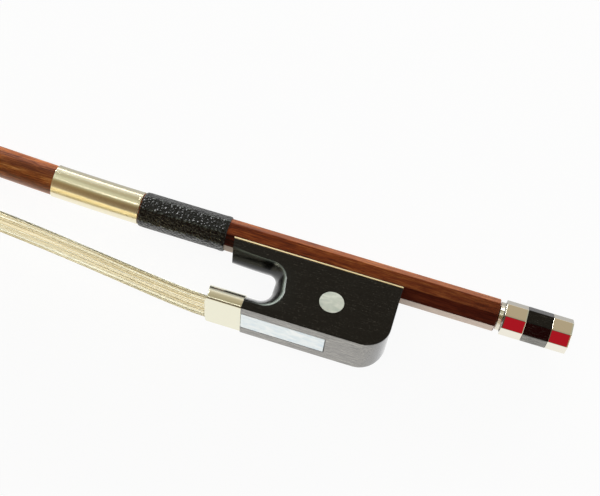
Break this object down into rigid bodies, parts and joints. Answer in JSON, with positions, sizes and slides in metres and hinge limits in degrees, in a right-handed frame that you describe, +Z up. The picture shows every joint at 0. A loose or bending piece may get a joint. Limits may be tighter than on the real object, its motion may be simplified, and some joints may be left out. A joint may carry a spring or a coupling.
{
  "type": "double bass bow",
  "caption": "French-model double bass bow: octagonal-handled stick, ebony frog with thumb throat, screw and button that tighten the hair.",
  "frame": {"origin": "centre of the bounding box in plan, on the table that the bow lies on", "axes": "+X along the handle towards the screw button, +Z up from the table, +Y from the hair towards the stick"},
  "size_m": [0.7192, 0.0408, 0.0228],
  "materials": {
    "wood": "polished pernambuco",
    "ebony": "polished ebony",
    "leather": "pebbled, satin",
    "nickel_silver": "polished nickel silver",
    "silver": "polished silver",
    "gilt_brass": "polished",
    "steel": "turned",
    "pearl": "polished mother-of-pearl",
    "white_plate": "polished",
    "maple": "bare",
    "horsehair": "bare hair",
    "thread": "waxed thread"
  },
  "bodies": {
    "stick": {"stick": "wood", "winding": "nickel_silver", "thumb_leather": "leather", "tip_liner": "ebony", "tip_plate": "white_plate", "head_hair_knot": "thread", "head_wedge": "maple", "hair_ribbon": "horsehair"},
    "frog": {"frog": "ebony", "frog_lining": "gilt_brass", "lining_screw_front": "steel", "lining_screw_rear": "steel", "eyelet": "gilt_brass", "ferrule": "nickel_silver", "slide_base": "ebony", "pearl_slide": "pearl", "pearl_eye_near": "pearl", "pearl_eye_far": "pearl", "frog_hair_knot": "thread", "frog_wedge": "maple", "spread_wedge": "maple"},
    "screw": {"screw_shaft": "steel", "button_collar": "silver", "button_core": "ebony", "button_front_band": "silver", "button_rear_band": "silver"}
  },
  "joints": [
    {"name": "screw_turn", "type": "hinge", "parent": "stick", "child": "screw", "pos_m": [0.26588, 0.01186, 0.00652], "axis": [-1, 0, 0], "range_deg": [-830, 3026]},
    {"name": "frog_slide", "type": "slide", "parent": "stick", "child": "frog", "axis": [1, 0, 0], "range_m": [-0.00138, 0.00504], "deforming": ["hair_ribbon"]}
  ],
  "couplings": [
    {"joint": "screw_turn", "follows": "frog_slide", "rad_per_m": 10472}
  ]
}
